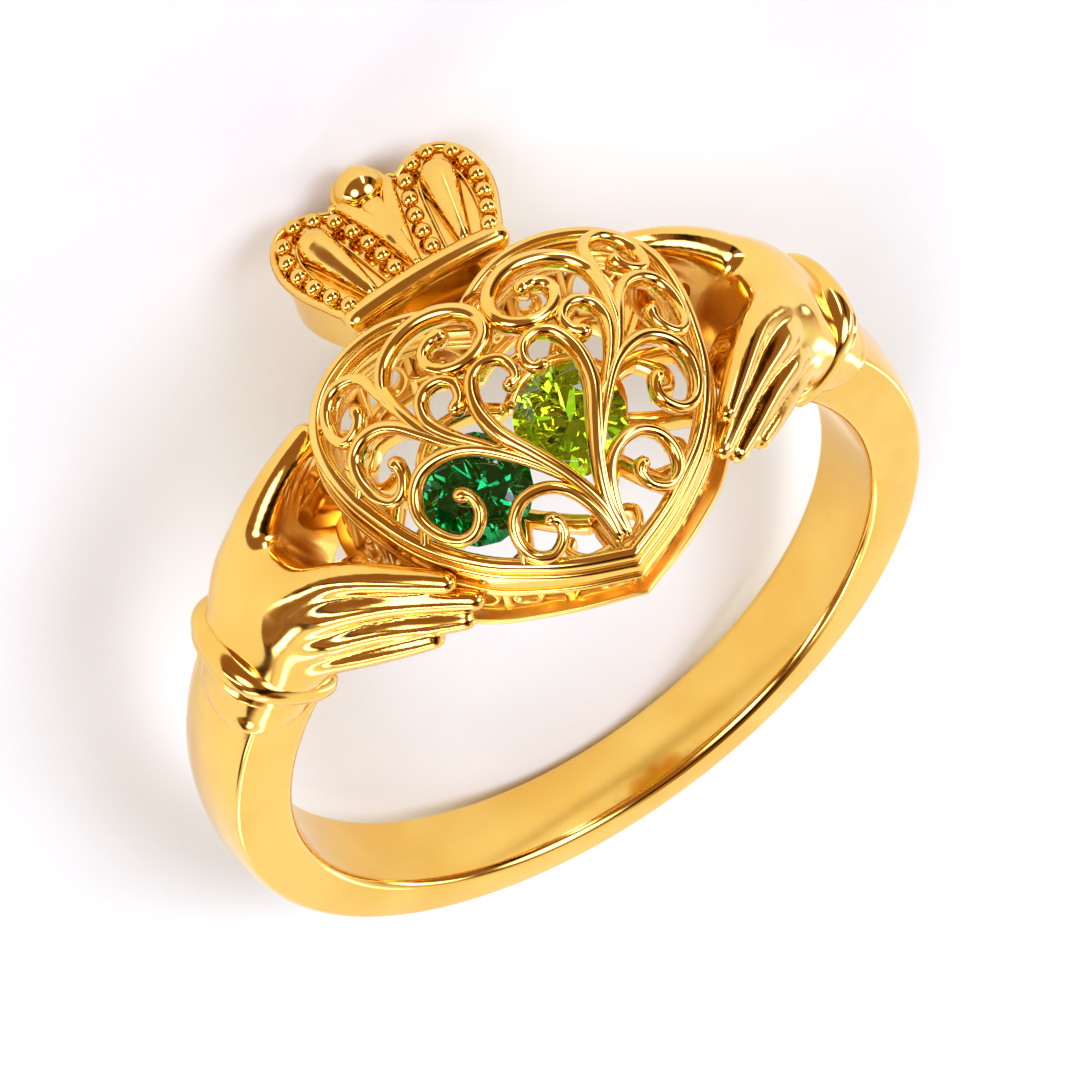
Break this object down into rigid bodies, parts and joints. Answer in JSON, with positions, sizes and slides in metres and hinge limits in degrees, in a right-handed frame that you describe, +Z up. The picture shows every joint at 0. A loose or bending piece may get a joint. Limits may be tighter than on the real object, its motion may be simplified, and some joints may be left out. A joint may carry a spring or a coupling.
{
  "type": "claddagh ring",
  "caption": "Finger ring with two cuffed hands that hold a crowned openwork heart, with two round loose stones caged in it.",
  "frame": {"origin": "centre of the finger hole, on its axis in the middle of the band", "axes": "+Z up from the table that the ring lies on, -Y toward the crowned heart, X across the two hands"},
  "size_m": [0.0208, 0.0229, 0.012],
  "materials": {
    "ring_gold": "polished",
    "grille_gold": "polished",
    "emerald": "polished",
    "peridot": "polished"
  },
  "bodies": {
    "root": {"ring_body": "ring_gold", "heart_grille": "grille_gold", "emerald_stone": "emerald", "peridot_stone": "peridot"}
  },
  "joints": []
}
